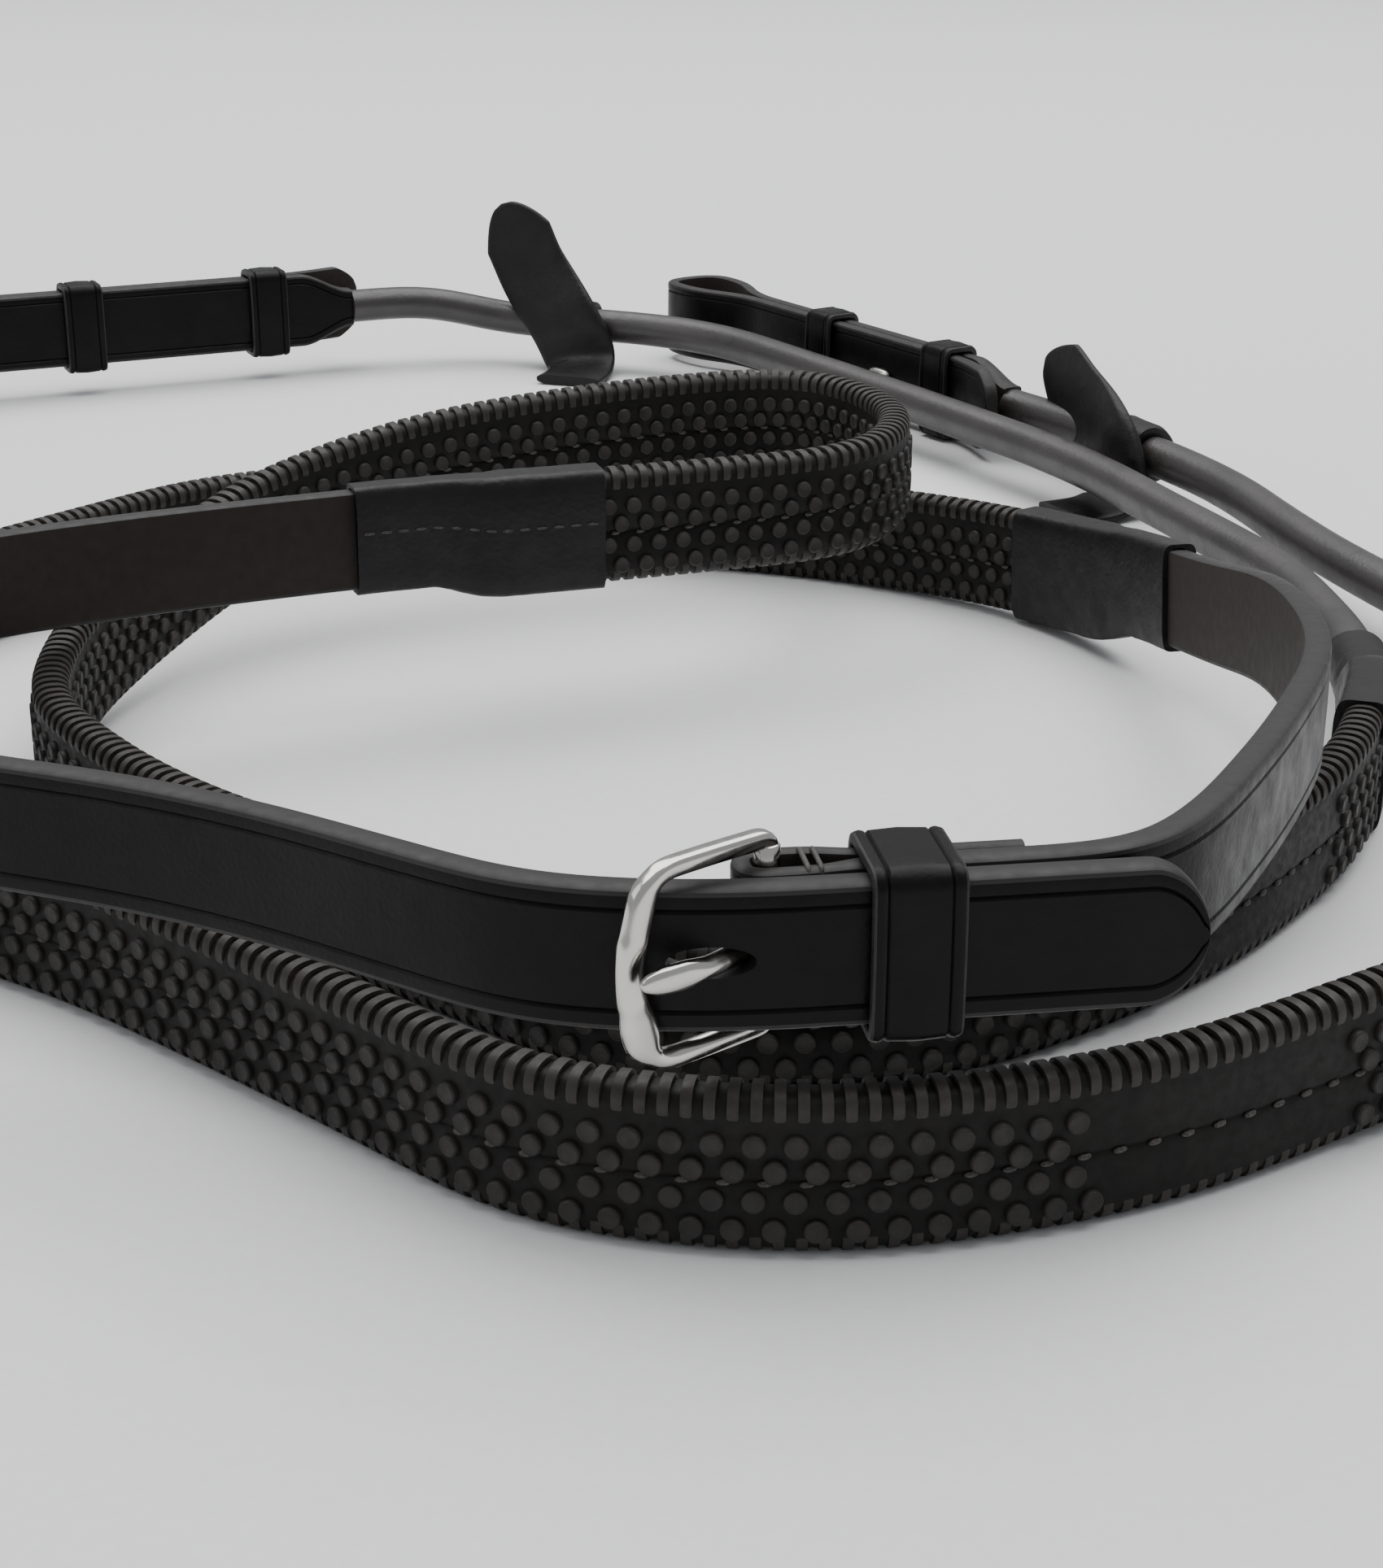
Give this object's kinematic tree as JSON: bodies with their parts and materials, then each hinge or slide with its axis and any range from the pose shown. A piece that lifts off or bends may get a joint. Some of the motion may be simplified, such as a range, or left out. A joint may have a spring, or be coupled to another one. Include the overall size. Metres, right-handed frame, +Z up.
{
  "type": "rubber-grip reins",
  "caption": "Pair of black leather bridle reins with rubber grips, joined by a steel buckle and coiled on a flat surface, with rein stops and buckled-back bit straps.",
  "frame": {"origin": "centre of the coil's footprint, on the surface it lies on", "axes": "+Z up; X along the buckle, with the billet's point at +X; +Y from the buckle to the bit straps"},
  "size_m": [0.3964, 0.4926, 0.0472],
  "materials": {
    "bridle_leather": "satin",
    "soft_leather": "satin",
    "core_leather": "matte",
    "grip_rubber": "matte",
    "buckle_steel": "polished",
    "stud_steel": "satin",
    "thread": "matte"
  },
  "bodies": {
    "straps": {"a_hand_strap": "bridle_leather", "a_hand_sleeve": "soft_leather", "a_bit_sleeve": "soft_leather", "a_rubber_grip": "grip_rubber", "a_core_strap": "core_leather", "a_rolled_strap": "bridle_leather", "a_bit_strap": "bridle_leather", "a_hook_stud": "stud_steel", "a_fixed_keeper": "bridle_leather", "b_hand_strap": "bridle_leather", "b_hand_sleeve": "soft_leather", "b_bit_sleeve": "soft_leather", "b_rubber_grip": "grip_rubber", "b_core_strap": "core_leather", "b_rolled_strap": "bridle_leather", "b_bit_strap": "bridle_leather", "b_hook_stud": "stud_steel", "b_fixed_keeper": "bridle_leather", "chape_stitches": "thread"},
    "buckle_frame": {"buckle_frame": "buckle_steel"},
    "buckle_tongue": {"buckle_tongue": "buckle_steel"},
    "centre_keeper": {"centre_keeper": "bridle_leather"},
    "a_running_keeper": {"a_running_keeper": "bridle_leather"},
    "b_running_keeper": {"b_running_keeper": "bridle_leather"},
    "a_rein_stop": {"a_rein_stop": "soft_leather"},
    "b_rein_stop": {"b_rein_stop": "soft_leather"}
  },
  "joints": [
    {"name": "buckle_frame_swing", "type": "hinge", "parent": "straps", "child": "buckle_frame", "pos_m": [0.03287, -0.23092, 0.034], "axis": [0, 0, 1], "range_deg": [0, 4]},
    {"name": "buckle_tongue_lift", "type": "hinge", "parent": "buckle_frame", "child": "buckle_tongue", "pos_m": [0.03287, -0.23092, 0.034], "axis": [0, 0, 1], "range_deg": [0, 6]},
    {"name": "centre_keeper_slide", "type": "slide", "parent": "straps", "child": "centre_keeper", "axis": [0.9894, 0.1451, 0], "range_m": [-0.001, 0.008]},
    {"name": "a_running_keeper_slide", "type": "slide", "parent": "straps", "child": "a_running_keeper", "axis": [-0.9119, -0.4104, 0], "range_m": [-0.008, 0.008]},
    {"name": "a_rein_stop_slide", "type": "slide", "parent": "straps", "child": "a_rein_stop", "axis": [-0.9416, 0.3368, 0], "range_m": [-0.003, 0.0015]},
    {"name": "b_running_keeper_slide", "type": "slide", "parent": "straps", "child": "b_running_keeper", "axis": [-0.534, 0.8455, 0], "range_m": [-0.008, 0.008]},
    {"name": "b_rein_stop_slide", "type": "slide", "parent": "straps", "child": "b_rein_stop", "axis": [-0.4399, 0.8981, 0], "range_m": [-0.003, 0.005]}
  ]
}
